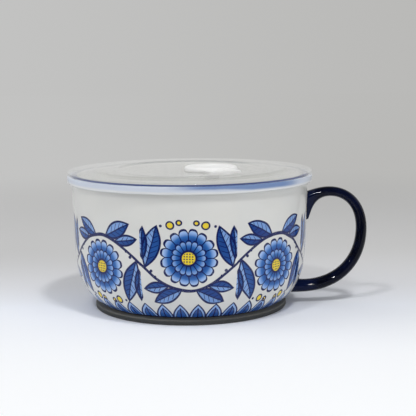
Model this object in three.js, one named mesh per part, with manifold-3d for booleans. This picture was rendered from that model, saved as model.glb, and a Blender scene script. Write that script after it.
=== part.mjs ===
// A lidded porcelain bowl with a side handle. The bowl stands on an unglazed foot ring, the handle is luted
// to its wall, and the lid is a clear moulded panel over a soft seal ring, with a vent plug that pulls up.
// Millimetres, +Z up, standing on Z = 0, handle towards +X, origin at the middle of the footprint.

import * as THREE from 'three';
import { mergeVertices } from 'three/addons/utils/BufferGeometryUtils.js';
import Module from 'manifold-3d';

// Bowl, turned on a wheel: heights from the table, radii from the bowl's own axis
const BOWL_HEIGHT = 79.5;
const LIP_RADIUS = 70.2;
const BELLY_RADIUS = 68.5;
const BELLY_HEIGHT = 34;
const HEEL_RADIUS = 54;
const HEEL_ANGLE = 30;
const HEEL_PULL = 11.5;
const BELLY_PULL = 14;
const WALL_THICKNESS = 3.9;
const FLOOR_THICKNESS = 4.2;
const FLOOR_RADIUS = 46;
const FLOOR_PULL = 12;
const FOOT_RADIUS = 57.1;
const FOOT_WIDTH = 4.2;
const FOOT_HEIGHT = 3.6;
const FOOT_RECESS = 2.4;
const FOOT_EDGE = 0.6;

// Handle, a pulled strap of oval section: heights are those of its middle line
const HANDLE_REACH = 105.6;
const HANDLE_ARM_HEIGHT = 62.6;
const HANDLE_ARM_RISE = 10.8;
const HANDLE_ARM_PULL = 19.5;
const HANDLE_BOW_HEIGHT = 44.8;
const HANDLE_UPPER_PULL = 18.5;
const HANDLE_LOWER_PULL = 21.5;
const HANDLE_HEEL_HEIGHT = 10.8;
const HANDLE_HEEL_ANGLE = -10;
const HANDLE_HEEL_PULL = 25;
const HANDLE_THICKNESS = 6.2;
const HANDLE_WIDTH = 9;
const HANDLE_ROOT_DEPTH = 3;
const TAIL_TOP = 65.4;
const TAIL_END = 51;
const TAIL_RADIUS = 8;
const TAIL_WAIST = 3;
const TAIL_WAIST_HEIGHT = 59;
const TAIL_TIP = 1;
const TAIL_WIDTH = 6.5;

// Lid: a stepped clear panel, with the seal ring moulded on under its rim
const PANEL_THICKNESS = 1.1;
const RIM_OVERHANG = 2.2;
const RIM_EDGE = 0.4;
const PLATEAU_RADIUS = 57;
const PLATEAU_RISE = 1.4;
const RECESS_RADIUS = 42;
const RECESS_DEPTH = 0.6;
const SKIRT_DEPTH = 5.2;
const SEAL_TOP_EDGE = 0.4;
const SEAL_LOW_EDGE = 0.8;

// Vent: an off-centre hole and the plug that closes it
const VENT_OFFSET = 19.2;
const VENT_BEARING = -49;
const VENT_HOLE_RADIUS = 5;
const VENT_TRAVEL = 2.2;
const CAP_RADIUS = 15.5;
const CAP_THICKNESS = 2.4;
const CAP_TOP_EDGE = 1.6;
const CAP_LOW_EDGE = 0.4;
const DISH_RADIUS = 9;
const DISH_DEPTH = 0.8;
const BARB_OVERHANG = 0.9;
const BARB_HEIGHT = 1.4;
const SLOT_WIDTH = 2;
const SLOT_DEPTH = 1.6;
const TAB_REACH = 21;
const TAB_WIDTH = 19.5;
const TAB_THICKNESS = 1.1;
const TAB_CORNER = 1.5;
const TAB_BEARING = -66;

// Clearance between pieces that touch
const GAP = 0.3;

// Fineness of round forms
const TURN_SEGMENTS = 56;
const CURVE_SEGMENTS = 8;
const EDGE_SEGMENTS = 2;
const HANDLE_STEPS = 36;

const wasm = await Module();
wasm.setup();

const radians = THREE.MathUtils.degToRad;
const at = (r, z) => new THREE.Vector2(r, z);

// A closed three.js geometry as a solid that can be joined and cut
function solidOf(geometry) {
  const bare = geometry.clone();
  bare.deleteAttribute('normal');
  bare.deleteAttribute('uv');
  const merged = mergeVertices(bare);
  const corners = merged.index.array;
  const triangles = [];
  for (let i = 0; i < corners.length; i += 3) {
    const [a, b, c] = [corners[i], corners[i + 1], corners[i + 2]];
    if (a !== b && b !== c && c !== a) triangles.push(a, b, c);
  }
  return new wasm.Manifold(new wasm.Mesh({
    numProp: 3,
    vertProperties: new Float32Array(merged.attributes.position.array),
    triVerts: new Uint32Array(triangles),
  }));
}

function geometryOf(solid) {
  const mesh = solid.getMesh();
  const geometry = new THREE.BufferGeometry();
  geometry.setAttribute('position', new THREE.BufferAttribute(mesh.vertProperties, 3));
  geometry.setIndex(new THREE.BufferAttribute(mesh.triVerts, 1));
  geometry.computeVertexNormals();
  return geometry;
}

// Points of an outline given as [radius, height, edge rounding] corners; a rounding stops at half its side
function rounded(corners, closed = false) {
  const points = [];
  corners.forEach(([r, z, edge = 0], i) => {
    const corner = at(r, z);
    const isEnd = !closed && (i === 0 || i === corners.length - 1);
    if (isEnd || edge === 0) {
      points.push(corner);
      return;
    }
    const before = at(...corners.at(i - 1));
    const after = at(...corners[(i + 1) % corners.length]);
    const towards = (end) => {
      const side = end.clone().sub(corner);
      return corner.clone().addScaledVector(side.clone().normalize(), Math.min(edge, side.length() / 2));
    };
    const curve = new THREE.QuadraticBezierCurve(towards(before), corner, towards(after));
    points.push(...curve.getPoints(EDGE_SEGMENTS));
  });
  if (closed) points.push(points[0].clone());
  return points;
}

// An outline of radius and height turned about the vertical axis
function turned(points, segments = TURN_SEGMENTS) {
  return new THREE.LatheGeometry(points, segments).rotateX(Math.PI / 2);
}

function piece(name, geometry, color, roughness) {
  const material = new THREE.MeshStandardMaterial({ color, roughness, metalness: 0 });
  const mesh = new THREE.Mesh(geometry, material);
  mesh.name = name;
  return mesh;
}

// Outside of the wall: a rounded base that runs out into a slightly leaning wall
const wallLean = (LIP_RADIUS - BELLY_RADIUS) / (BOWL_HEIGHT - BELLY_HEIGHT);
const lipEdge = WALL_THICKNESS / 2;
const heel = at(HEEL_RADIUS, FOOT_HEIGHT);
const belly = at(BELLY_RADIUS, BELLY_HEIGHT);
const baseCurve = new THREE.CubicBezierCurve(
  heel,
  at(heel.x + HEEL_PULL * Math.cos(radians(HEEL_ANGLE)), heel.y + HEEL_PULL * Math.sin(radians(HEEL_ANGLE))),
  at(belly.x - BELLY_PULL * wallLean, belly.y - BELLY_PULL),
  belly,
);
const outerWall = [...baseCurve.getPoints(CURVE_SEGMENTS), at(LIP_RADIUS, BOWL_HEIGHT - lipEdge)];

function wallRadius(height) {
  const above = Math.max(1, outerWall.findIndex((point) => point.y >= height));
  const [low, high] = [outerWall[above - 1], outerWall[above]];
  return low.x + (high.x - low.x) * (height - low.y) / (high.y - low.y);
}

// Bowl: foot ring, wall, rounded lip and a floor that curves up into the wall
function bowlGeometry() {
  const footInside = FOOT_RADIUS - FOOT_WIDTH;
  const foot = rounded([
    [0, FOOT_RECESS],
    [footInside - FOOT_RECESS / 2, FOOT_RECESS, FOOT_EDGE],
    [footInside, 0, FOOT_EDGE],
    [FOOT_RADIUS, 0, FOOT_EDGE],
    [FOOT_RADIUS, FOOT_HEIGHT - FOOT_EDGE],
  ]);
  const lip = new THREE.EllipseCurve(
    LIP_RADIUS - lipEdge, BOWL_HEIGHT - lipEdge, lipEdge, lipEdge, 0, Math.PI);
  const floorHeight = FOOT_RECESS + FLOOR_THICKNESS;
  const innerBelly = at(BELLY_RADIUS - WALL_THICKNESS, BELLY_HEIGHT);
  const innerCurve = new THREE.CubicBezierCurve(
    innerBelly,
    at(innerBelly.x - BELLY_PULL * wallLean, innerBelly.y - BELLY_PULL),
    at(FLOOR_RADIUS + FLOOR_PULL, floorHeight),
    at(FLOOR_RADIUS, floorHeight),
  );
  return turned([
    ...foot,
    ...outerWall.slice(0, -1),
    ...lip.getPoints(CURVE_SEGMENTS),
    ...innerCurve.getPoints(CURVE_SEGMENTS),
    at(0, floorHeight),
  ]);
}

// Handle: an oval strap from below the lip, out to the bow and back to the heel, with a tapered tail under
// its upper root; both roots are cut to the wall
function handleGeometry() {
  const upright = (x, z) => new THREE.Vector3(x, 0, z);
  const bowRadius = HANDLE_REACH - HANDLE_THICKNESS / 2;
  const armRadius = wallRadius(HANDLE_ARM_HEIGHT) - HANDLE_ROOT_DEPTH;
  const heelRadius = wallRadius(HANDLE_HEEL_HEIGHT) - HANDLE_ROOT_DEPTH;
  const heelAngle = radians(HANDLE_HEEL_ANGLE);
  const middle = new THREE.CurvePath();
  middle.add(new THREE.CubicBezierCurve3(
    upright(armRadius, HANDLE_ARM_HEIGHT),
    upright(armRadius + HANDLE_ARM_PULL, HANDLE_ARM_HEIGHT + HANDLE_ARM_RISE),
    upright(bowRadius, HANDLE_BOW_HEIGHT + HANDLE_UPPER_PULL),
    upright(bowRadius, HANDLE_BOW_HEIGHT),
  ));
  middle.add(new THREE.CubicBezierCurve3(
    upright(bowRadius, HANDLE_BOW_HEIGHT),
    upright(bowRadius, HANDLE_BOW_HEIGHT - HANDLE_LOWER_PULL),
    upright(
      heelRadius + HANDLE_HEEL_PULL * Math.cos(heelAngle),
      HANDLE_HEEL_HEIGHT + HANDLE_HEEL_PULL * Math.sin(heelAngle)),
    upright(heelRadius, HANDLE_HEEL_HEIGHT),
  ));
  const section = new THREE.Shape();
  section.absellipse(0, 0, HANDLE_WIDTH / 2, HANDLE_THICKNESS / 2, 0, 2 * Math.PI);
  const strap = new THREE.ExtrudeGeometry(section, {
    steps: HANDLE_STEPS, curveSegments: CURVE_SEGMENTS, extrudePath: middle,
  });

  const tailSide = new THREE.QuadraticBezierCurve(
    at(TAIL_TIP, TAIL_END), at(TAIL_WAIST, TAIL_WAIST_HEIGHT), at(TAIL_RADIUS, TAIL_TOP));
  const tail = turned(
    [at(0, TAIL_END), ...tailSide.getPoints(CURVE_SEGMENTS), at(0, TAIL_TOP)], TURN_SEGMENTS / 4);
  tail.scale(1, TAIL_WIDTH / (2 * TAIL_RADIUS), 1).translate(wallRadius(TAIL_TOP), 0, 0);

  const wallFill = turned([
    at(0, heel.y),
    ...outerWall.map((point) => at(point.x + GAP, point.y)),
    at(0, outerWall.at(-1).y),
  ]);
  return geometryOf(solidOf(strap).add(solidOf(tail)).subtract(solidOf(wallFill)));
}

// Lid panel: heights from its underside, which rests on the lip; a raised plateau with a shallow stacking
// recess, and a rim that overhangs the lip
const rimRadius = LIP_RADIUS + RIM_OVERHANG;
const ventFloor = PANEL_THICKNESS + PLATEAU_RISE - RECESS_DEPTH;
const ventAt = new THREE.Vector3(
  VENT_OFFSET * Math.cos(radians(VENT_BEARING)), VENT_OFFSET * Math.sin(radians(VENT_BEARING)), ventFloor);

function panelGeometry() {
  const slopeShift = PANEL_THICKNESS * Math.tan(Math.PI / 8);
  const face = (lift, shift) => [
    [RECESS_RADIUS - shift, lift + PLATEAU_RISE - RECESS_DEPTH, RECESS_DEPTH],
    [RECESS_RADIUS + RECESS_DEPTH - shift, lift + PLATEAU_RISE, RECESS_DEPTH],
    [PLATEAU_RADIUS - shift, lift + PLATEAU_RISE, PLATEAU_RISE / 2],
    [PLATEAU_RADIUS + PLATEAU_RISE - shift, lift, PLATEAU_RISE / 2],
  ];
  const panel = turned(rounded([
    [0, PLATEAU_RISE - RECESS_DEPTH],
    ...face(0, slopeShift),
    [rimRadius, 0, RIM_EDGE],
    [rimRadius, PANEL_THICKNESS, RIM_EDGE],
    ...face(PANEL_THICKNESS, 0).reverse(),
    [0, ventFloor],
  ]));
  const drill = new THREE.CylinderGeometry(
    VENT_HOLE_RADIUS, VENT_HOLE_RADIUS, 4 * PANEL_THICKNESS, TURN_SEGMENTS / 2);
  drill.rotateX(Math.PI / 2).translate(ventAt.x, ventAt.y, ventAt.z);
  return geometryOf(solidOf(panel).subtract(solidOf(drill)));
}

// Seal ring: a soft skirt under the panel's rim that grips the outside of the lip
function sealGeometry() {
  const inside = LIP_RADIUS + GAP;
  return turned(rounded([
    [rimRadius, -SKIRT_DEPTH, SEAL_LOW_EDGE],
    [rimRadius, -GAP, SEAL_TOP_EDGE],
    [inside, -GAP],
    [inside, -SKIRT_DEPTH, SEAL_LOW_EDGE],
  ], true));
}

// Vent plug: heights from the panel's top; a dished cap with a lift tab, and a slotted stem whose barb stops
// the plug when it is pulled up
function plugGeometry() {
  const stemRadius = VENT_HOLE_RADIUS - GAP;
  const barbTop = -PANEL_THICKNESS - VENT_TRAVEL - GAP;
  const capTop = GAP + CAP_THICKNESS;
  const body = turned(rounded([
    [0, barbTop - BARB_HEIGHT],
    [stemRadius - BARB_OVERHANG, barbTop - BARB_HEIGHT],
    [VENT_HOLE_RADIUS + BARB_OVERHANG, barbTop],
    [stemRadius, barbTop],
    [stemRadius, GAP],
    [CAP_RADIUS, GAP, CAP_LOW_EDGE],
    [CAP_RADIUS, capTop, CAP_TOP_EDGE],
    [DISH_RADIUS + DISH_DEPTH, capTop, DISH_DEPTH],
    [DISH_RADIUS, capTop - DISH_DEPTH, DISH_DEPTH],
    [0, capTop - DISH_DEPTH],
  ]), TURN_SEGMENTS / 2);

  const outline = new THREE.Shape();
  const corner = TAB_REACH - TAB_CORNER;
  outline.moveTo(0, -TAB_WIDTH / 2);
  outline.lineTo(corner, -TAB_WIDTH / 2);
  outline.absarc(corner, TAB_CORNER - TAB_WIDTH / 2, TAB_CORNER, -Math.PI / 2, 0);
  outline.absarc(corner, TAB_WIDTH / 2 - TAB_CORNER, TAB_CORNER, 0, Math.PI / 2);
  outline.lineTo(0, TAB_WIDTH / 2);
  const tab = new THREE.ExtrudeGeometry(outline, {
    depth: TAB_THICKNESS, bevelEnabled: false, curveSegments: EDGE_SEGMENTS,
  });
  tab.rotateZ(radians(TAB_BEARING)).translate(0, 0, GAP);

  let plug = solidOf(body).add(solidOf(tab));
  for (const side of [-1, 1]) {
    const slot = new THREE.BoxGeometry(2 * SLOT_DEPTH, SLOT_WIDTH, -barbTop);
    slot.translate(side * stemRadius, 0, barbTop / 2);
    plug = plug.subtract(solidOf(slot));
  }
  return geometryOf(plug);
}

const porcelainWhite = 0xeeeeea;
const navyGlaze = 0x0b1026;
const clearPlastic = 0xd3d6d6;
const milkySilicone = 0xc3d0e2;
const whiteSilicone = 0xf2f2ee;

const bowl = new THREE.Group();
bowl.add(piece('bowl_body', bowlGeometry(), porcelainWhite, 0.12));
bowl.add(piece('handle', handleGeometry(), navyGlaze, 0.1));

const plug = piece('vent_plug', plugGeometry(), whiteSilicone, 0.45);
plug.position.copy(ventAt);

const lid = new THREE.Group();
lid.add(piece('lid_panel', panelGeometry(), clearPlastic, 0.08));
lid.add(piece('lid_seal', sealGeometry(), milkySilicone, 0.25));
lid.add(plug);
lid.position.z = BOWL_HEIGHT + GAP;

const liddedBowl = new THREE.Group();
liddedBowl.add(bowl, lid);
const reach = new THREE.Box3().setFromObject(liddedBowl);
liddedBowl.position.x = -(reach.min.x + reach.max.x) / 2;

export default liddedBowl;
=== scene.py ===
"""A lidded porcelain bowl with a loop handle: its glazes, frieze, clear lid, soft seal and vent plug."""

from math import cos, exp, pi, radians, sin, tau

import bmesh
import bpy
from mathutils import Matrix, Vector
from mathutils.geometry import interpolate_bezier


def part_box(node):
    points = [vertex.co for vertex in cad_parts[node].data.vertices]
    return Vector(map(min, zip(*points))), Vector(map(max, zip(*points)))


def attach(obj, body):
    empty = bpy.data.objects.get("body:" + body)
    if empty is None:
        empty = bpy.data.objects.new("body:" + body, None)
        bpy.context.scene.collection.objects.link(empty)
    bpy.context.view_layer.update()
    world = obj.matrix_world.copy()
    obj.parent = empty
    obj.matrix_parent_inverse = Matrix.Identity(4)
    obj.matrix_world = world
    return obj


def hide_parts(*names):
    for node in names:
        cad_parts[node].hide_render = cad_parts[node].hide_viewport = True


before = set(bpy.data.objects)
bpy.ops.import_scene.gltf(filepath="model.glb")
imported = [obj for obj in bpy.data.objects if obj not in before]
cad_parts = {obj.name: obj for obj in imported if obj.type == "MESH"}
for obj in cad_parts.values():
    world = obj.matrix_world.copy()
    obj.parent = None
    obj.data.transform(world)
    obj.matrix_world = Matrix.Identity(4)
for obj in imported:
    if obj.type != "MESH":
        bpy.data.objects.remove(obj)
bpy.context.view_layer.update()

# Bowl: a porcelain body cast in one piece, tucked in at the heel over a wider foot ring. It is printed in
# blue, glazed white inside and out and dipped in navy at the lip. The foot ring is wiped bare, so that the
# bowl can stand in the kiln. Its bare clay is near-black, partly the clay's own colour and partly painted
# shade for the shadow under the heel, and its top edge is painted paler as a lit ledge.
mm = 0.001
bowl_low, bowl_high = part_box("bowl_body")
bowl_axis = Vector(((bowl_low.x + bowl_high.x) / 2, 0, 0))
bowl_height = bowl_high.z
lip_radius = (bowl_high.x - bowl_low.x) / 2
wall_thickness = 3.9 * mm
belly_radius = 68.5 * mm
belly_height = 34 * mm
belly_pull = 14 * mm
heel_radius = 54 * mm
heel_pull = 11.5 * mm
heel_angle = radians(30)
foot_radius = 57.1 * mm
foot_width = 4.2 * mm
foot_height = 3.6 * mm
foot_recess = 2.4 * mm
foot_edge = 0.7 * mm
floor_height = 6.6 * mm
floor_radius = 46 * mm
floor_pull = 12 * mm


def bend(start, start_pull, end_pull, end, steps=20):
    """Points along a smooth bend, from its two ends and the two points that pull it."""
    ends_and_pulls = [Vector(point) for point in (start, start_pull, end_pull, end)]
    return [tuple(point) for point in interpolate_bezier(*ends_and_pulls, steps + 1)]


def turned(outline, closed=False, segments=144):
    """A solid turned about the upright axis from (radius, height) corners; a third number rounds one."""
    solid = bmesh.new()
    corners = [solid.verts.new((radius, 0, height)) for radius, height, *_ in outline]
    followers = corners[1:] + corners[:1] if closed else corners[1:]
    for corner, follower in zip(corners, followers):
        solid.edges.new((corner, follower))
    for corner, (_, _, *edge) in zip(corners, outline):
        if edge:
            bmesh.ops.bevel(
                solid, geom=[corner], offset=edge[0], offset_type="OFFSET", affect="VERTICES",
                segments=6, profile=0.5, material=-1)
    bmesh.ops.spin(
        solid, geom=solid.verts[:] + solid.edges[:], cent=(0, 0, 0), axis=(0, 0, 1), angle=tau,
        steps=segments, use_merge=True)
    bmesh.ops.remove_doubles(solid, verts=solid.verts[:], dist=1e-6)
    bmesh.ops.recalc_face_normals(solid, faces=solid.faces[:])
    return solid


def piece(name, shape, *finishes, crease=radians(38)):
    """A finished piece from its shape, smooth but for edges sharper than the crease."""
    mesh = bpy.data.meshes.new(name)
    shape.to_mesh(mesh)
    shape.free()
    mesh.shade_smooth()
    mesh.set_sharp_from_angle(angle=crease)
    for finish in finishes:
        mesh.materials.append(finish)
    made = bpy.data.objects.new(name, mesh)
    bpy.context.scene.collection.objects.link(made)
    return made


class Value:
    """A number, colour or place that varies over a surface. Sums on it add Math nodes to its finish."""

    def __init__(self, tree, socket=None):
        self.tree = tree
        self.socket = socket

    def node(self, kind, settings=None, sockets=None, out=0):
        made = self.tree.nodes.new("ShaderNode" + kind)
        for name, setting in (settings or {}).items():
            if name == "stops":
                stops = made.color_ramp.elements
                while len(stops) < len(setting):
                    stops.new(1)
                for stop, (position, colour) in zip(stops, setting):
                    stop.position = position
                    stop.color = (*colour, 1)
            else:
                setattr(made, name, setting)
        for name, value in (sockets or {}).items():
            if isinstance(value, Value):
                self.tree.links.new(value.socket, made.inputs[name])
            else:
                made.inputs[name].default_value = value
        return Value(self.tree, made.outputs[out] if made.outputs else None)

    def math(self, operation, *terms):
        return self.node("Math", {"operation": operation}, dict(enumerate(terms)))

    def parts(self):
        split = self.node("SeparateXYZ", {}, {"Vector": self})
        return [Value(self.tree, out) for out in split.socket.node.outputs]

    def eased(self, low, high):
        ends = {"Value": self, "From Min": low, "From Max": high}
        return self.node("MapRange", {"interpolation_type": "SMOOTHSTEP"}, ends)

    def mixed(self, first, second):
        return self.node("Mix", {"data_type": "RGBA"}, {0: self, 6: first, 7: second}, out=2)

    def fract(self):
        return self.math("FRACT", self)

    def __add__(self, other):
        return self.math("ADD", self, other)

    def __sub__(self, other):
        return self.math("SUBTRACT", self, other)

    def __rsub__(self, other):
        return self.math("SUBTRACT", other, self)

    def __mul__(self, other):
        return self.math("MULTIPLY", self, other)

    def __truediv__(self, other):
        return self.math("DIVIDE", self, other)

    def __pow__(self, other):
        return self.math("POWER", self, other)

    def __neg__(self):
        return self.math("MULTIPLY", self, -1)

    def __abs__(self):
        return self.math("ABSOLUTE", self)

    def __or__(self, other):
        return self.math("MINIMUM", self, other)

    def __and__(self, other):
        return self.math("MAXIMUM", self, other)

    __radd__ = __add__
    __rmul__ = __mul__


def new_finish(name):
    """An empty material, and the value that its nodes start from."""
    finish = bpy.data.materials.new(name)
    finish.use_nodes = True
    finish.node_tree.nodes.clear()
    return finish, Value(finish.node_tree)


def coat(start, **sockets):
    """Ends a finish with the shader that takes these sockets."""
    named = {name.replace("_", " "): value for name, value in sockets.items()}
    surface = start.node("BsdfPrincipled", {}, named)
    start.node("OutputMaterial", {}, {"Surface": surface})


# The frieze is a scroll of blossoms and leaves over a row of upright lappets. Sizes are in millimetres on
# the wall, distances are negative inside a motif, | joins two motifs and & keeps what lies in both. A line
# is given by half its width, and a wash from 0 for bare white to 1 for the deepest blue.
frieze_repeats = 8
frieze_height = 36
repeat_width = 54.2
wander_scale = 0.06
wander_reach = 2.2
ink_edge = 0.12
blossom_rise = 4
petal_notch = 0.16
petal_line = 0.62
petal_seam = 0.3
petal_tip_wash = 0.28
petal_deepening = 0.62
ring_notch = 0.18
ring_line = 0.5
ring_petal_seam = 0.28
ring_tip_wash = 0.45
ring_deepening = 0.5
heart_line = 0.55
seeds_per_mm = 0.7
seed_half = 0.26
seed_margin = 0.8
vine_swing = 14.5
vine_line = 0.95
leaf_line = 0.58
leaf_rib = 0.36
leaf_vein = 0.24
vein_step = 3.1
vein_slant = 0.9
vein_margin = 0.9
leaf_pale_wash = 0.52
leaf_deepening = 0.42
leaf_blend = 0.3
berry_line = 0.45
lappets = 40
lappet_width = 9.6
lappet_foot = 3.4
lappet_height = 9.8
lappet_line = 0.5
lappet_border = 1.7
lappet_border_line = 0.28
lappet_border_wash = 0.42
lappet_wash = 0.86
lappet_rib = 0.4
scroll_foot = lappet_foot + 0.55 * lappet_height
# A printed navy hem line runs just above the foot and also stands in as painted shade for the dark line
# under the heel.
hem_and_shade_height = 4.1
hem_and_shade_line = 0.5


def ink(distance):
    """1 inside a motif and 0 outside, with a soft edge."""
    return distance.eased(ink_edge, -ink_edge)


def blossom(x, y, petals, reach, ring, heart):
    """Lines, edge, wash and heart of a double blossom of pointed petals."""
    out = (x * x + y * y) ** 0.5
    turn = y.math("ARCTAN2", y, x) * (petals / tau)
    off_middle = abs(turn.fract() - 0.5) * 2
    tip = out - reach * (1 - petal_notch * off_middle ** 3)
    ring_tip = out - ring * (1 - ring_notch * (1 - off_middle) ** 3)
    half_petal = out * (pi / petals)
    seam = ((1 - off_middle) * half_petal - petal_seam) & tip & -ring_tip
    ring_seam = (off_middle * half_petal - ring_petal_seam) & ring_tip & (heart - out)
    outlines = (abs(tip) - petal_line) | (abs(ring_tip) - ring_line) | (abs(out - heart) - heart_line)
    lines = outlines | seam | ring_seam
    outer_wash = petal_tip_wash + out.eased(reach, ring) * petal_deepening
    ring_wash = ring_tip_wash + out.eased(ring, heart) * ring_deepening
    wash = outer_wash + (ring_wash - outer_wash) * ink(ring_tip)
    return lines, tip, wash, out - heart


def leaf(x, y, root, tip, width):
    """Lines, edge and wash of a leaf with a rib and slanting veins, one half darker than the other."""
    lie = Vector(tip) - Vector(root)
    length = lie.length
    lie.normalize()
    along = (x - root[0]) * lie.x + (y - root[1]) * lie.y
    off = (y - root[1]) * lie.x - (x - root[0]) * lie.y
    share = along / length
    edge = abs(off) - width * 4 * share * (1 - share)
    vein = abs(((along - abs(off) * vein_slant) / vein_step).fract() - 0.5) * vein_step
    rib_line = (abs(off) - leaf_rib) & edge
    vein_line = (vein - leaf_vein) & (edge + vein_margin)
    lines = (abs(edge) - leaf_line) | rib_line | vein_line
    wash = leaf_pale_wash + leaf_deepening * off.eased(-leaf_blend, leaf_blend)
    return lines, edge, wash


def dot(x, y, place, radius):
    """Distance from a round dot."""
    across = x - place[0]
    up = y - place[1]
    return (across * across + up * up) ** 0.5 - radius


def seed_rows(across):
    """Rows of seeds, by their share of the spacing."""
    return abs((across * seeds_per_mm).fract() - 0.5) - seed_half


def frieze(place):
    """Ink, wash and yellow of the printed scroll at a place given in millimetres from the bowl's axis."""
    east, north, height = place.parts()
    bearing = east.math("ARCTAN2", east, -north)
    repeat = bearing * (frieze_repeats / tau)
    number = repeat.math("ROUND", repeat)
    odd = number.math("PINGPONG", number, 1)
    drift = place.node("TexNoise", {}, {"Vector": place, "Scale": wander_scale, "Detail": 1.0}, out="Color")
    drift_x, drift_y, _ = drift.parts()
    x = (repeat - number) * repeat_width + (drift_x - 0.5) * wander_reach
    y = (height - frieze_height) * (1 - 2 * odd) + (drift_y - 0.5) * wander_reach
    side = abs(x)

    lines, flower_edge, flower_wash, heart = blossom(
        x, y - blossom_rise, petals=16, reach=15.5, ring=9.6, heart=4)
    seeds = seed_rows(x) & seed_rows(y) & (heart + seed_margin)
    swing = x * (pi / repeat_width)
    vine = abs(y + vine_swing * swing.math("COSINE", swing)) - vine_line
    leaves = [
        leaf(side, y, root=(24.5, -1.5), tip=(16.8, 21.5), width=4.6),
        leaf(side, y, root=(4.2, -14), tip=(20.5, -21.6), width=3.9),
        leaf(side, y, root=(11, -11.6), tip=(25.4, -13.6), width=2.9),
        leaf(side, y, root=(25.8, 3), tip=(25.2, 20.5), width=2.6),
    ]
    berry = dot(side, y, place=(9.4, 22), radius=2) | dot(side, y, place=(4.6, 23.2), radius=1.3)
    low_spots = dot(side, y, place=(20.8, -3.4), radius=0.9) | dot(side, y, place=(18.4, -6.4), radius=0.7)
    spots = low_spots | dot(side, y, place=(14.6, 21.6), radius=0.8)
    lines = lines | vine | seeds | (abs(berry) - berry_line) | spots
    wash = ink(flower_edge) * flower_wash
    for leaf_lines, leaf_edge, leaf_wash in leaves:
        lines = lines | (leaf_lines & -flower_edge)
        wash = wash & (ink(leaf_edge & -flower_edge) * leaf_wash)

    across = abs((bearing * (lappets / tau)).fract() - 0.5) * lappet_width
    share = (height - lappet_foot) / lappet_height
    lappet = across - lappet_width / 2 * (1 - share * share)
    inner_lappet = lappet + lappet_border
    border = (abs(inner_lappet) - lappet_border_line) & (height - lappet_height)
    rib = (across - lappet_rib) & inner_lappet
    above_lappets = ink(lappet_foot + lappet_height - height) & ink(-lappet)
    # The hem line is print that also serves as painted shade under the heel.
    hem_and_painted_heel_shade = abs(height - hem_and_shade_height) - hem_and_shade_line
    lines = (lines & (scroll_foot - height)) | (abs(lappet) - lappet_line) | border | rib | hem_and_painted_heel_shade
    wash = wash * above_lappets & (ink(lappet) * lappet_border_wash) & (ink(inner_lappet) * lappet_wash)
    return ink(lines), wash, ink(heart | berry)


porcelain_white = (0.70, 0.70, 0.675, 1)
cool_white = (0.68, 0.685, 0.67, 1)
light_blue = (0.30, 0.46, 0.78)
mid_blue = (0.035, 0.155, 0.47)
deep_blue = (0.010, 0.04, 0.21)
navy_ink = (0.005, 0.011, 0.085, 1)
lemon = (0.80, 0.62, 0.05, 1)
# The foot's clay is near-black, partly its own colour and partly painted shade; its ledge colour is painted
# light on the lit top edge.
foot_clay_and_painted_shade = (0.05, 0.052, 0.052, 1)
painted_lit_ledge_clay = (0.16, 0.157, 0.14, 1)
lip_navy = (0.012, 0.035, 0.15, 1)
dip_depth = 2.9
inner_dip_depth = 0.45
dip_wander = 0.8
dip_edge = 0.2
wipe_wander = 0.4
wipe_edge = 0.25
wipe_inner_reach = 1.0
wipe_inner_edge = 0.4
lit_ledge_wander = 0.8
lit_ledge_fade = 0.9
thin_wash = 0.8
wash_clouds = 0.4
thin_ink = 0.86
glaze_roughness = 0.07
cloud_roughness = 0.05
bare_roughness = 0.6
ripple_relief = 0.25
grain_relief = 0.02
bare_relief = 0.5


def millimetre_place(start):
    """Places on a piece in millimetres from the bowl's axis and the table."""
    spot = start.node("TexCoord", out="Object")
    return start.node("Mapping", {}, {"Vector": spot, "Location": -bowl_axis / mm, "Scale": (1 / mm,) * 3})


def white_glaze(name, printed):
    """Gloss white glaze, dipped navy at the lip and wiped off the foot, with or without the frieze."""
    finish, start = new_finish(name)
    place = millimetre_place(start)
    east, north, height = place.parts()
    radius = (east * east + north * north) ** 0.5
    cloud = start.node("TexNoise", {}, {"Vector": place, "Scale": 0.05, "Detail": 3.0})
    ripple = start.node("TexNoise", {}, {"Vector": place, "Scale": 0.12, "Detail": 2.0})
    grain = start.node("TexNoise", {}, {"Vector": place, "Scale": 1.6, "Detail": 4.0})
    colour = cloud.eased(0.3, 0.7).mixed(cool_white, porcelain_white)
    if printed:
        lines, wash, yellow = frieze(place)
        tone = wash * (thin_wash + wash_clouds * cloud)
        stops = ((0, porcelain_white[:3]), (0.4, light_blue), (0.72, mid_blue), (1, deep_blue))
        painted = tone.node("ValToRGB", {"stops": stops}, {"Fac": tone})
        colour = tone.eased(0, 0.12).mixed(colour, painted)
        colour = yellow.mixed(colour, lemon)
        inked = lines * (thin_ink + (1 - thin_ink) * grain.eased(0.3, 0.5))
        colour = inked.mixed(colour, navy_ink)
    dip_line = bowl_height / mm - (dip_depth if printed else inner_dip_depth)
    dip = (height + (ripple - 0.5) * dip_wander).eased(dip_line - dip_edge, dip_line + dip_edge)
    colour = dip.mixed(colour, lip_navy)
    wipe_line = foot_height / mm
    wiped = (height + (grain - 0.5) * wipe_wander).eased(wipe_line + wipe_edge, wipe_line)
    wipe_inside = (foot_radius - foot_width) / mm - wipe_inner_reach
    bare = wiped * radius.eased(wipe_inside - wipe_inner_edge, wipe_inside)
    # The bare foot is near-black, partly clay colour and partly painted shade under the heel; its top is
    # painted paler as a lit ledge.
    ring_top = (foot_height - foot_edge) / mm
    painted_lit_ledge = (height + (grain - 0.5) * lit_ledge_wander).eased(ring_top - lit_ledge_fade, ring_top)
    colour = bare.mixed(colour, painted_lit_ledge.mixed(foot_clay_and_painted_shade, painted_lit_ledge_clay))
    roughness = glaze_roughness + cloud_roughness * cloud + bare_roughness * bare
    relief = ripple * ripple_relief + grain * grain_relief + bare * grain * bare_relief
    bump = start.node("Bump", {}, {"Strength": 0.35, "Distance": 0.2 * mm, "Height": relief})
    coat(start, Base_Color=colour, Roughness=roughness, IOR=1.35, Normal=bump)
    return finish


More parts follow.
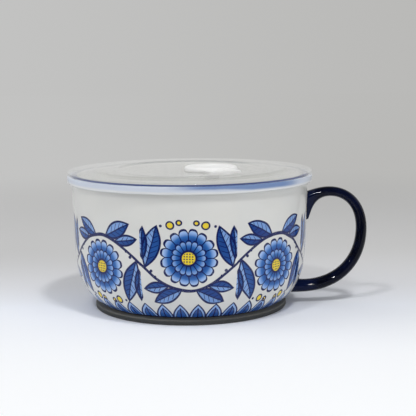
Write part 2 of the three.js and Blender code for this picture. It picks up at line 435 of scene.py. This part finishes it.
lip_edge = 0.98 * wall_thickness / 2
wall_lean = (lip_radius - belly_radius) / (bowl_height - belly_height)
foot_inside = foot_radius - foot_width
inner_belly = belly_radius - wall_thickness
outside = bend(
    (heel_radius, foot_height),
    (heel_radius + heel_pull * cos(heel_angle), foot_height + heel_pull * sin(heel_angle)),
    (belly_radius - belly_pull * wall_lean, belly_height - belly_pull),
    (belly_radius, belly_height))
inside = bend(
    (inner_belly, belly_height),
    (inner_belly - belly_pull * wall_lean, belly_height - belly_pull),
    (floor_radius + floor_pull, floor_height),
    (floor_radius, floor_height))
bowl_shape = turned([
    (0, foot_recess),
    (foot_inside - foot_recess / 2, foot_recess, foot_edge),
    (foot_inside, 0, foot_edge),
    (foot_radius, 0, foot_edge),
    (foot_radius, foot_height - foot_edge, foot_edge),
    *outside,
    (lip_radius, bowl_height, lip_edge),
    (lip_radius - wall_thickness, bowl_height, lip_edge),
    *inside,
    (0, floor_height),
])
for face in bowl_shape.faces:
    middle = face.calc_center_median()
    face.material_index = 0 if middle.xy.dot(face.normal.xy) > 0 else 1
bmesh.ops.translate(bowl_shape, verts=bowl_shape.verts[:], vec=bowl_axis)
bowl = piece(
    "porcelain_bowl", bowl_shape, white_glaze("printed_glaze", True), white_glaze("plain_glaze", False))
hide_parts("bowl_body")
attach(bowl, "bowl")

# Handle: a strap of clay pulled to an oval section, bowed and stuck to the leather-hard wall with slip. The
# upper root is drawn down the wall into a thumb-smoothed tail, and the whole handle is glazed navy, paler
# near the wall where the glaze runs thin.
handle_low, handle_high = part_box("handle")
strap_width = handle_high.y - handle_low.y
top_thickness = 5.2 * mm
low_thickness = 7.7 * mm
bow_reach = handle_high.x - bowl_axis.x - (top_thickness + low_thickness) / 4
bow_height = 44.8 * mm
arm_height = 62.6 * mm
arm_rise = 10.8 * mm
arm_pull = 19.5 * mm
upper_pull = 20 * mm
lower_pull = 23 * mm
heel_root_height = 10.8 * mm
heel_root_angle = radians(-9.4)
heel_root_pull = 26.6 * mm
root_depth = 3 * mm
heel_root_depth = 4.2 * mm
tail_pull = 16 * mm
tail_fade = 3.1 * mm
tail_length = 10.7 * mm
tail_narrowing = 0.7
root_swell = 0.12
root_swell_fade = 4 * mm
bend_steps = 60
section_sides = 32
thin_glaze_reach = 8 * mm
thin_navy = (0.003, 0.007, 0.034, 1)
even_navy = (0.003, 0.005, 0.022, 1)
thick_navy = (0.0015, 0.002, 0.006, 1)


def wall_radius(height):
    """Radius of the outer wall at a height."""
    points = outside + [(lip_radius, bowl_height)]
    for (low_radius, low), (high_radius, high) in zip(points, points[1:]):
        if height <= high:
            return low_radius + (high_radius - low_radius) * (height - low) / (high - low)
    return lip_radius


def strap_line():
    """Middle line of the strap from the upper root to the lower, as (radius, height) points."""
    arm = wall_radius(arm_height) - root_depth
    root = wall_radius(heel_root_height) - heel_root_depth
    upper = bend(
        (arm, arm_height), (arm + arm_pull, arm_height + arm_rise),
        (bow_reach, bow_height + upper_pull), (bow_reach, bow_height), steps=bend_steps)
    root_pull = (
        root + heel_root_pull * cos(heel_root_angle),
        heel_root_height + heel_root_pull * sin(heel_root_angle))
    lower = bend(
        (bow_reach, bow_height), (bow_reach, bow_height - lower_pull),
        root_pull, (root, heel_root_height), steps=bend_steps)
    return upper + lower[1:]


def ring_places(line):
    """A matrix for each ring of the strap: its middle, with the ring's X across and Y through the strap."""
    places = []
    for number, (radius, height) in enumerate(line):
        before = Vector(line[max(number - 1, 0)])
        after = Vector(line[min(number + 1, len(line) - 1)])
        along = (after - before).normalized()
        ring = Matrix((
            (0, -along.y, along.x, radius),
            (1, 0, 0, 0),
            (0, along.x, along.y, height),
            (0, 0, 0, 1)))
        places.append(ring)
    return places


handle_line = strap_line()
strap = bmesh.new()
ring = bmesh.ops.create_circle(strap, cap_ends=True, radius=1, segments=section_sides)["verts"]
edges = strap.edges[:]
angles = {corner: (corner.co.x, corner.co.y) for corner in ring}
for number, place in enumerate(ring_places(handle_line)):
    if number:
        grown = bmesh.ops.extrude_edge_only(strap, edges=edges)["geom"]
        edges = [part for part in grown if isinstance(part, bmesh.types.BMEdge)
                 and all(end in grown for end in part.verts)]
        new_ring = [part for part in grown if isinstance(part, bmesh.types.BMVert)]
        matched = {}
        for corner in new_ring:
            neighbours = [edge.other_vert(corner) for edge in corner.link_edges]
            matched[corner] = next(angles[old] for old in neighbours if old in angles)
        angles = matched
    radius, height = handle_line[number]
    share = number / (len(handle_line) - 1)
    thickness = top_thickness + (low_thickness - top_thickness) * share
    clear = max(radius - wall_radius(height), 0)
    swell = 1 + root_swell * exp(-clear / root_swell_fade)
    underside = place @ Vector((0, -thickness / 2, 0))
    tail_clear = max(underside.x - wall_radius(underside.z), 0)
    drop = min(tail_pull * exp(-tail_clear / tail_fade), tail_length) if share < 0.5 else 0
    for corner, (across, through) in angles.items():
        lowered = max(-through, 0)
        taper = 1 - tail_narrowing * lowered * drop / tail_length
        wide = across * strap_width / 2 * swell * taper
        thick = through * thickness / 2 * swell
        corner.co = place @ Vector((wide, thick, 0))
        corner.co.z -= lowered * drop
bmesh.ops.contextual_create(strap, geom=edges)
bmesh.ops.recalc_face_normals(strap, faces=strap.faces[:])
bmesh.ops.translate(strap, verts=strap.verts[:], vec=bowl_axis)

navy_glaze, start = new_finish("navy_glaze")
spot = start.node("TexCoord", out="Object")
pooling = start.node("TexNoise", {}, {"Vector": spot, "Scale": 60.0, "Detail": 3.0})
pinholes = start.node("TexNoise", {}, {"Vector": spot, "Scale": 900.0, "Detail": 2.0})
pooled_navy = pooling.eased(0.35, 0.7).mixed(thick_navy, even_navy)
across, sideways, _ = spot.parts()
reach = ((across - bowl_axis.x) ** 2 + sideways ** 2) ** 0.5
navy = reach.eased(lip_radius + thin_glaze_reach, lip_radius).mixed(pooled_navy, thin_navy)
relief = pooling + pinholes * 0.05
skin = start.node("Bump", {}, {"Strength": 0.2, "Distance": 0.15 * mm, "Height": relief})
coat(start, Base_Color=navy, Roughness=0.02 + 0.04 * pooling, IOR=1.25, Normal=skin)
handle = piece("navy_handle", strap, navy_glaze, crease=radians(60))
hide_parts("handle")
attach(handle, "bowl")

# Lid panel: a disc moulded in clear plastic, with a raised plateau, a shallow stacking recess and a vent
# hole beside the middle. Its thin rim overhangs the lip, which shows through it as a navy line.
panel_low, panel_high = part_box("lid_panel")
panel_bottom = panel_low.z
rim_radius = panel_high.x - bowl_axis.x
rim_edge = 0.35 * mm
flange_depth = 0.9 * mm
flange_width = 1.9 * mm
flange_inside = rim_radius - flange_width
panel_thickness = 1.1 * mm
plateau_rise = panel_high.z - panel_bottom - panel_thickness
plateau_radius = 57 * mm
recess_radius = 42 * mm
recess_depth = 0.6 * mm
slope_shift = 0.46 * mm
vent_offset = 19.2 * mm
vent_bearing = radians(-49)
vent_hole = 5 * mm
vent = bowl_axis + vent_offset * Vector((cos(vent_bearing), sin(vent_bearing), 0))
clear_tint = (0.95, 0.955, 0.955, 1)


def panel_face(height, shift):
    """Corners of one face of the panel from the recess out to the rim."""
    return [
        (recess_radius - shift, height + plateau_rise - recess_depth),
        (recess_radius + recess_depth - shift, height + plateau_rise, recess_depth / 2),
        (plateau_radius - shift, height + plateau_rise, plateau_rise / 2),
        (plateau_radius + plateau_rise - shift, height, plateau_rise / 2),
    ]


panel_shape = turned([
    *panel_face(panel_bottom, slope_shift),
    (flange_inside, panel_bottom, rim_edge),
    (flange_inside, panel_bottom - flange_depth, rim_edge),
    (rim_radius, panel_bottom - flange_depth, rim_edge),
    (rim_radius, panel_bottom + panel_thickness, rim_edge),
    *reversed(panel_face(panel_bottom + panel_thickness, 0)),
])
bmesh.ops.translate(panel_shape, verts=panel_shape.verts[:], vec=bowl_axis)
hole_rims = []
open_edges = [edge for edge in panel_shape.edges if edge.is_boundary]
for level in sorted({round(edge.verts[0].co.z, 6) for edge in open_edges}):
    rim = [edge for edge in open_edges if round(edge.verts[0].co.z, 6) == level]
    radius = (rim[0].verts[0].co - bowl_axis).xy.length
    grown = bmesh.ops.extrude_edge_only(panel_shape, edges=rim)["geom"]
    corners = [part for part in grown if isinstance(part, bmesh.types.BMVert)]
    bmesh.ops.scale(
        panel_shape, verts=corners, vec=(vent_hole / radius, vent_hole / radius, 1),
        space=Matrix.Translation(-bowl_axis))
    bmesh.ops.translate(panel_shape, verts=corners, vec=vent - bowl_axis)
    hole_rims += [part for part in grown if isinstance(part, bmesh.types.BMEdge) and part.is_boundary]
bmesh.ops.bridge_loops(panel_shape, edges=hole_rims)
bmesh.ops.recalc_face_normals(panel_shape, faces=panel_shape.faces[:])

clear_plastic, start = new_finish("clear_plastic")
spot = start.node("TexCoord", out="Object")
haze = start.node("TexNoise", {}, {"Vector": spot, "Scale": 45.0, "Detail": 3.0})
draw = start.node("TexNoise", {}, {"Vector": spot, "Scale": 14.0, "Detail": 1.0})
flow = start.node("Bump", {}, {"Strength": 0.15, "Distance": 0.2 * mm, "Height": draw})
coat(
    start, Base_Color=clear_tint, Roughness=0.015 + 0.03 * haze, IOR=1.0, Transmission_Weight=1.0,
    Coat_Weight=1.0, Coat_Roughness=0.05, Normal=flow)
lid_panel = piece("clear_lid_panel", panel_shape, clear_plastic)
lid_panel.visible_shadow = False
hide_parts("lid_panel")
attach(lid_panel, "lid")

# Seal ring: a soft milky skirt moulded on under the panel's rim, which grips the outside of the lip. The
# navy dip shows through it as a blue band, which is painted only on the right of the viewer's side; the
# milky left and front are a painted reflection of bright light, which veils the blue there.
seal_low, seal_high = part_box("lid_seal")
seal_outside = seal_high.x - bowl_axis.x
seal_bond = 0.05 * mm
seal_top = panel_bottom - flange_depth - seal_bond
seal_bottom = seal_low.z
seal_low_edge = 0.8 * mm
seal_top_edge = 0.3 * mm
seal_inner_edge = 0.2 * mm
seal_shape = turned([
    (seal_outside, seal_bottom, seal_low_edge),
    (seal_outside, seal_top, seal_top_edge),
    (flange_inside, seal_top, seal_inner_edge),
    (flange_inside, seal_bottom, seal_low_edge),
], closed=True)
bmesh.ops.translate(seal_shape, verts=seal_shape.verts[:], vec=bowl_axis)

# Bearings run round the rim from the viewer's side, and depths are in millimetres below the seal's top.
milk = (0.73, 0.79, 0.90, 1)
bead_painted_highlight = (0.90, 0.91, 0.92, 1)
wetted_blue = (0.215, 0.325, 0.58, 1)
unreflected_side_start = (radians(-12), radians(7))
unreflected_side_end = (radians(64), radians(46))
blue_band_deepening = (radians(14), radians(30))
shallow_blue_band = 1.6
extra_blue_band_depth = 1.0
blue_band_edge = 0.8
bead_highlight_start = 2.2
bead_highlight_full = 3.6
bearing_wander = 0.1
depth_wander = 0.6
milky_silicone, start = new_finish("milky_silicone")
place = millimetre_place(start)
east, north, height = place.parts()
bloom = start.node("TexNoise", {}, {"Vector": place, "Scale": 0.08, "Detail": 3.0})
bearing = east.math("ARCTAN2", east, -north) + (bloom - 0.5) * bearing_wander
# Painted reflection: the blue band is kept between these bearings, and the rest of the skirt stays milky as
# if veiled by bright reflections.
painted_unreflected_side = bearing.eased(*unreflected_side_start) * bearing.eased(*unreflected_side_end)
below_top = seal_top / mm - height + (bloom - 0.5) * depth_wander
blue_band_depth = shallow_blue_band + extra_blue_band_depth * bearing.eased(*blue_band_deepening)
backed = (below_top - blue_band_depth).eased(blue_band_edge, -blue_band_edge)
# The lowest part of the skirt is painted whiter, a painted highlight along its rounded bottom edge.
painted_bead_highlight = below_top.eased(bead_highlight_start, bead_highlight_full)
colour = (painted_unreflected_side * backed).mixed(painted_bead_highlight.mixed(milk, bead_painted_highlight), wetted_blue)
skin = start.node("Bump", {}, {"Strength": 0.12, "Distance": 0.1 * mm, "Height": bloom})
coat(
    start, Base_Color=colour, Roughness=0.14 + 0.08 * bloom, IOR=1.42, Transmission_Weight=0.2,
    Normal=skin)
seal = piece("milky_seal_ring", seal_shape, milky_silicone)
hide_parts("lid_seal")
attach(seal, "lid")

# Vent plug: a soft white plug moulded with a dished cap and a lift tab. Its slotted stem passes the panel,
# and a barb below stops it when it is pulled up to let steam out.
plug_low, plug_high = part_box("vent_plug")
cap_radius = 15.5 * mm
cap_thickness = 2.65 * mm
cap_top = plug_high.z
cap_bottom = cap_top - cap_thickness
cap_top_edge = 1.7 * mm
cap_low_edge = 0.15 * mm
dish_radius = 9 * mm
dish_depth = 0.8 * mm
dish_edge = 0.6 * mm
stem_radius = 4.7 * mm
stem_end = plug_low.z
stem_taper = 0.9 * mm
stem_end_edge = 0.4 * mm
stem_root_edge = 0.3 * mm
barb_radius = 5.9 * mm
barb_height = 1.4 * mm
barb_edge = 0.25 * mm
barb_root_edge = 0.2 * mm
slot_width = 2 * mm
slot_depth = 1.6 * mm
tab_reach = 21 * mm
tab_width = 19.5 * mm
tab_thickness = 1.35 * mm
tab_corner = 1.5 * mm
tab_bearing = radians(-66)
clean_white = (0.95, 0.95, 0.94, 1)
dusty_white = (0.92, 0.92, 0.91, 1)


def block(low, high):
    """A block between two corners."""
    middle = Matrix.Translation((Vector(low) + Vector(high)) / 2)
    spans = Matrix.Diagonal((*(Vector(high) - Vector(low)), 1))
    shape = bmesh.new()
    bmesh.ops.create_cube(shape, size=1, matrix=middle @ spans)
    return shape


def worked(blank, tool, operation):
    """A blank with a tool's shape joined to it or cut from it."""
    bodies = []
    for shape in (blank, tool):
        mesh = bpy.data.meshes.new("blank")
        shape.to_mesh(mesh)
        shape.free()
        bodies.append(bpy.data.objects.new("blank", mesh))
        bpy.context.scene.collection.objects.link(bodies[-1])
    step = bodies[0].modifiers.new("step", "BOOLEAN")
    step.object = bodies[1]
    step.operation = operation
    step.solver = "EXACT"
    made = bmesh.new()
    made.from_object(bodies[0], bpy.context.evaluated_depsgraph_get())
    for body in bodies:
        mesh = body.data
        bpy.data.objects.remove(body)
        bpy.data.meshes.remove(mesh)
    return made


plug_shape = turned([
    (0, stem_end),
    (stem_radius - stem_taper, stem_end, stem_end_edge),
    (barb_radius, stem_end + barb_height, barb_edge),
    (stem_radius, stem_end + barb_height, barb_root_edge),
    (stem_radius, cap_bottom, stem_root_edge),
    (cap_radius, cap_bottom, cap_low_edge),
    (cap_radius, cap_top, cap_top_edge),
    (dish_radius + dish_depth, cap_top, dish_edge),
    (dish_radius, cap_top - dish_depth, dish_edge),
    (0, cap_top - dish_depth),
], segments=96)
tab = block((0, -tab_width / 2, cap_bottom), (tab_reach, tab_width / 2, cap_bottom + tab_thickness))
outer_corners = [edge for edge in tab.edges if all(end.co.x > tab_reach / 2 for end in edge.verts)
                 and abs(edge.verts[0].co.z - edge.verts[1].co.z) > tab_thickness / 2]
bmesh.ops.bevel(
    tab, geom=outer_corners, offset=tab_corner, offset_type="OFFSET", affect="EDGES",
    segments=5, profile=0.5, material=-1)
bmesh.ops.rotate(tab, verts=tab.verts[:], cent=(0, 0, 0), matrix=Matrix.Rotation(tab_bearing, 3, "Z"))
plug_shape = worked(plug_shape, tab, "UNION")
slot_end = stem_end + barb_height
for side in (-1, 1):
    edge = side * stem_radius
    slot = block(
        (edge - slot_depth, -slot_width / 2, slot_end),
        (edge + slot_depth, slot_width / 2, cap_bottom))
    plug_shape = worked(plug_shape, slot, "DIFFERENCE")
bmesh.ops.recalc_face_normals(plug_shape, faces=plug_shape.faces[:])
bmesh.ops.translate(plug_shape, verts=plug_shape.verts[:], vec=vent)

white_silicone, start = new_finish("white_silicone")
spot = start.node("TexCoord", out="Object")
dust = start.node("TexNoise", {}, {"Vector": spot, "Scale": 150.0, "Detail": 4.0})
satin = dust.eased(0.3, 0.75).mixed(dusty_white, clean_white)
skin = start.node("Bump", {}, {"Strength": 0.15, "Distance": 0.1 * mm, "Height": dust})
coat(
    start, Base_Color=satin, Roughness=0.34 + 0.12 * dust, IOR=1.42, Subsurface_Weight=0.7,
    Subsurface_Radius=(1, 1, 1), Subsurface_Scale=3 * mm, Normal=skin)
plug = piece("white_vent_plug", plug_shape, white_silicone)
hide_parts("vent_plug")
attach(plug, "vent")

# Table: a pale matt sheet that runs out to the grey of the room. Its colour is painted light: bright and a
# little blue towards the viewer and greyer behind the bowl, as the light falls off. It keeps the bowl's
# shadow, and its near end is dim in the glaze's reflections.
table_half = 4.0
table_tones_painted_falloff = (
    (0, (0.965, 0.98, 1.0)),
    (0.42, (0.90, 0.93, 0.99)),
    (0.65, (0.81, 0.82, 0.85)),
    (1, (0.68, 0.68, 0.68)))
tones_near = -0.18
tones_far = 0.2
dim_start = -0.12
dim_full = -0.22
fade_start = 0.25
fade_full = 0.8
left_grey = (0.545, 0.545, 0.54, 1)
right_grey = (0.485, 0.483, 0.472, 1)
dim_grey = (0.05, 0.05, 0.055, 1)


def room_grey(across):
    """The grey of the room, paler on the left; across runs from -1 on the left to 1 on the right."""
    return across.eased(-0.3, 0.3).mixed(left_grey, right_grey)


table_shape = bmesh.new()
bmesh.ops.create_grid(table_shape, x_segments=2, y_segments=2, size=table_half)
pale_table, start = new_finish("pale_table")
spot = start.node("TexCoord", out="Object")
table_x, table_y, _ = spot.parts()
depth = table_y.eased(tones_near, tones_far)
painted_falloff_paper = depth.node("ValToRGB", {"stops": table_tones_painted_falloff}, {"Fac": depth})
mirrored = Value(start.tree, start.node("LightPath").socket.node.outputs["Is Glossy Ray"])
painted_falloff_paper = (mirrored * table_y.eased(dim_start, dim_full)).mixed(painted_falloff_paper, dim_grey)
sheet = start.node("BsdfDiffuse", {}, {"Color": painted_falloff_paper})
distance = (table_x * table_x + table_y * table_y) ** 0.5
far_off = start.node("Emission", {}, {"Color": room_grey(table_x / distance), "Strength": 1.0})
blend = start.node("MixShader", {}, {0: distance.eased(fade_start, fade_full), 1: sheet, 2: far_off})
start.node("OutputMaterial", {}, {"Surface": blend})
table = piece("table", table_shape, pale_table)

# Light: two lamps overhead and a broad window on each side, under a pale ceiling, in a room that is dim on
# the viewer's side. Two small lamps near the camera put the glints on the glaze.
bowl_middle = Vector((0, 0, 0.04))
side_fill = (0.06, 0.06, 0.06, 1)
top_fill = (0.52, 0.52, 0.52, 1)
world = bpy.data.worlds.new("room")
world.use_nodes = True
world.node_tree.nodes.clear()
bpy.context.scene.world = world
start = Value(world.node_tree)
path = start.node("LightPath").socket.node.outputs
seen = Value(world.node_tree, path["Is Camera Ray"]) & Value(world.node_tree, path["Is Transmission Ray"])
mirrored = Value(world.node_tree, path["Is Glossy Ray"])
across, away, up = start.node("TexCoord", out="Generated").parts()
grey = room_grey(across)
behind = away.eased(-0.4, 0.2) * up.eased(0.8, 0.4)
fill = up.eased(0.2, 0.9).mixed(side_fill, top_fill)
room = start.node("Background", {}, {"Color": fill, "Strength": 1.0})
reflected = start.node("Background", {}, {"Color": behind.mixed(dim_grey, grey), "Strength": 1.25})
backdrop = start.node("Background", {}, {"Color": grey, "Strength": 1.0})
lit = start.node("MixShader", {}, {0: mirrored, 1: room, 2: reflected})
start.node("OutputWorld", {}, {"Surface": start.node("MixShader", {}, {0: seen, 1: lit, 2: backdrop})})


def lamp(name, place, size, power, hidden_from):
    """A square lamp turned to the bowl, unseen by the camera, through the lid and by one kind of ray."""
    light = bpy.data.lights.new(name, "AREA")
    light.shape = "SQUARE"
    light.size = size
    light.energy = power
    made = bpy.data.objects.new(name, light)
    made.location = place
    made.rotation_euler = (bowl_middle - Vector(place)).to_track_quat("-Z", "Y").to_euler()
    made.visible_camera = False
    made.visible_transmission = False
    setattr(made, "visible_" + hidden_from, False)
    bpy.context.scene.collection.objects.link(made)


lamp("right_overhead", (0.23, -0.59, 1.15), size=0.13, power=4.4, hidden_from="glossy")
lamp("left_overhead", (-0.40, -0.78, 1.15), size=0.13, power=3.0, hidden_from="glossy")
lamp("left_window", (-1.20, -0.10, 0.55), size=0.80, power=5.4, hidden_from="glossy")
lamp("right_window", (0.90, -0.80, 0.45), size=0.60, power=3.7, hidden_from="glossy")
lamp("right_glint", (0.10, -1.08, 0.48), size=0.045, power=4.0, hidden_from="diffuse")
lamp("left_glint", (-0.16, -1.08, 0.42), size=0.045, power=3.2, hidden_from="diffuse")

# Camera: a short telephoto a little above the lid, as for a product picture, and very slightly tilted. It
# aims at a point right of the bowl's axis, so that the handle is in the picture.
camera_distance = 0.6312
camera_pitch = radians(7.94)
camera_roll = radians(-0.46)
camera_aim = bowl_axis + Vector((10.67, 0, 57.58)) * mm
film_width = 36
focal_length = 91.35
lens = bpy.data.cameras.new("camera")
lens.sensor_width = film_width
lens.lens = focal_length
camera = bpy.data.objects.new("camera", lens)
camera.rotation_euler = (
    Matrix.Rotation(radians(90) - camera_pitch, 4, "X") @ Matrix.Rotation(camera_roll, 4, "Z")).to_euler()
camera.location = camera_aim - camera_distance * Vector((0, cos(camera_pitch), -sin(camera_pitch)))
bpy.context.scene.collection.objects.link(camera)
bpy.context.scene.camera = camera
bpy.context.scene.view_settings.view_transform = "Standard"
